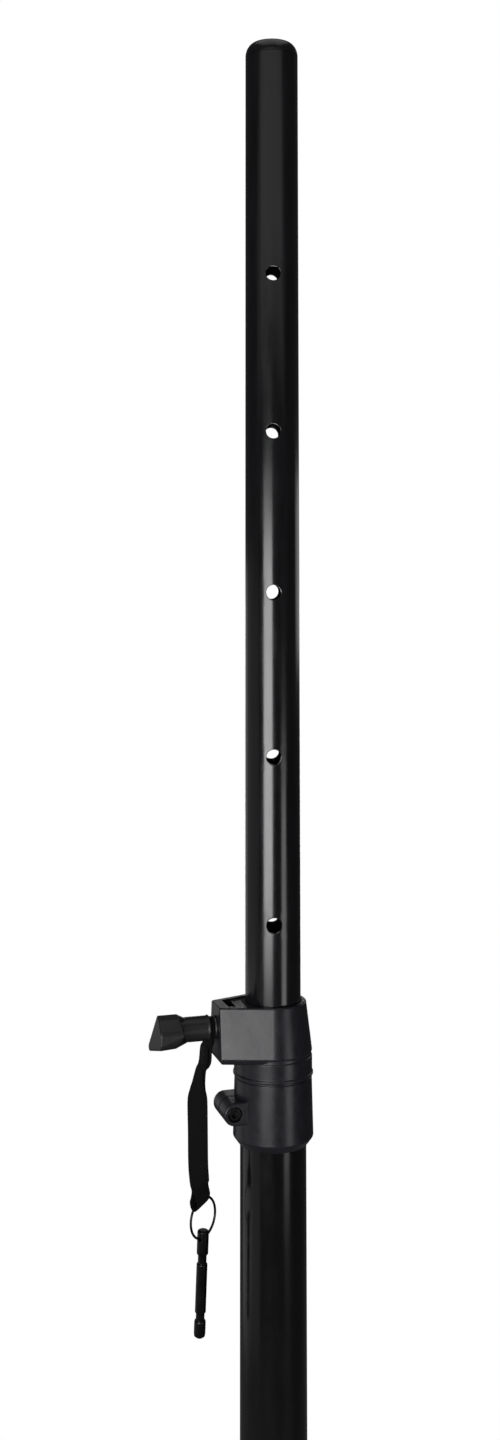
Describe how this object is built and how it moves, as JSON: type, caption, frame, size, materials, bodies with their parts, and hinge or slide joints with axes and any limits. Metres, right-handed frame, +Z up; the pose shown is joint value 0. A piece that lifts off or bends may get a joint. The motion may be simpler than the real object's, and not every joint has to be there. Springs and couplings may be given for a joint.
{
  "type": "speaker pole",
  "caption": "Telescopic loudspeaker pole: spigot foot, lower tube, clamping collar with side knob, drilled mast that slides and turns, and a safety pin hung on a webbing strap.",
  "frame": {"origin": "centre of the flat underside of the plug in the foot of the spigot", "axes": "+Z up along the pole, Y along the mast's cross holes, knob and strap on the -X side"},
  "size_m": [0.1029, 0.0595, 1.45],
  "materials": {
    "tube_black": "satin black powder coat on steel tube",
    "mast_black": "satin black powder coat on steel tube",
    "spigot_black": "satin black powder coat on turned steel",
    "housing_grey": "charcoal moulded nylon, fine texture",
    "knob_black": "black moulded nylon, fine texture",
    "nylon_black": "smooth black moulded nylon",
    "pad_rubber": "matt black rubber",
    "zinc_steel": "zinc plated steel",
    "hardware_black": "black oxide on steel",
    "webbing_black": "woven black webbing, doubled and stitched"
  },
  "bodies": {
    "stand": {"base_plug": "nylon_black", "base_spigot": "spigot_black", "spigot_pin_1": "zinc_steel", "spigot_pin_2": "zinc_steel", "lower_tube": "tube_black", "tube_liner": "nylon_black", "collar_housing": "housing_grey", "captive_nut": "zinc_steel", "knob_washer": "zinc_steel", "clamp_screw": "hardware_black", "clamp_nut": "zinc_steel"},
    "carriage": {"guide_bush": "nylon_black"},
    "mast": {"mast_tube": "mast_black", "top_cap": "nylon_black", "mast_foot": "nylon_black", "foot_pin": "zinc_steel"},
    "shoe": {"pressure_shoe": "housing_grey", "shoe_pad": "pad_rubber"},
    "knob": {"lock_stud": "zinc_steel", "lock_knob": "knob_black"},
    "strap": {"strap": "webbing_black"},
    "ring": {"key_ring": "hardware_black"},
    "pin": {"lock_pin": "hardware_black"}
  },
  "joints": [
    {"name": "mast_slide", "type": "slide", "parent": "stand", "child": "carriage", "axis": [0, 0, 1], "range_m": [-0.555, 0.025]},
    {"name": "mast_turn", "type": "hinge", "parent": "carriage", "child": "mast", "pos_m": [0, 0, 0.693], "axis": [0, 0, 1], "continuous": true},
    {"name": "shoe_slide", "type": "slide", "parent": "stand", "child": "shoe", "axis": [-0.9703, -0.2419, 0], "range_m": [0, 0.0025]},
    {"name": "knob_turn", "type": "hinge", "parent": "shoe", "child": "knob", "pos_m": [0, 0, 0.8165], "axis": [-0.9703, -0.2419, 0], "range_deg": [0, 720.5]},
    {"name": "strap_swing", "type": "hinge", "parent": "stand", "child": "strap", "pos_m": [-0.0393, -0.0098, 0.8165], "axis": [-0.9703, -0.2419, 0], "continuous": true},
    {"name": "ring_swing", "type": "hinge", "parent": "strap", "child": "ring", "pos_m": [-0.0456, -0.01137, 0.7152], "axis": [0.6144, 0.7453, 0.2588], "range_deg": [-120, 120]},
    {"name": "pin_swing", "type": "hinge", "parent": "ring", "child": "pin", "pos_m": [-0.04366, -0.00901, 0.692], "axis": [-0.6361, -0.7716, 0], "range_deg": [-150, 150]}
  ],
  "couplings": [
    {"joint": "knob_turn", "follows": "shoe_slide", "rad_per_m": 5026.5}
  ]
}
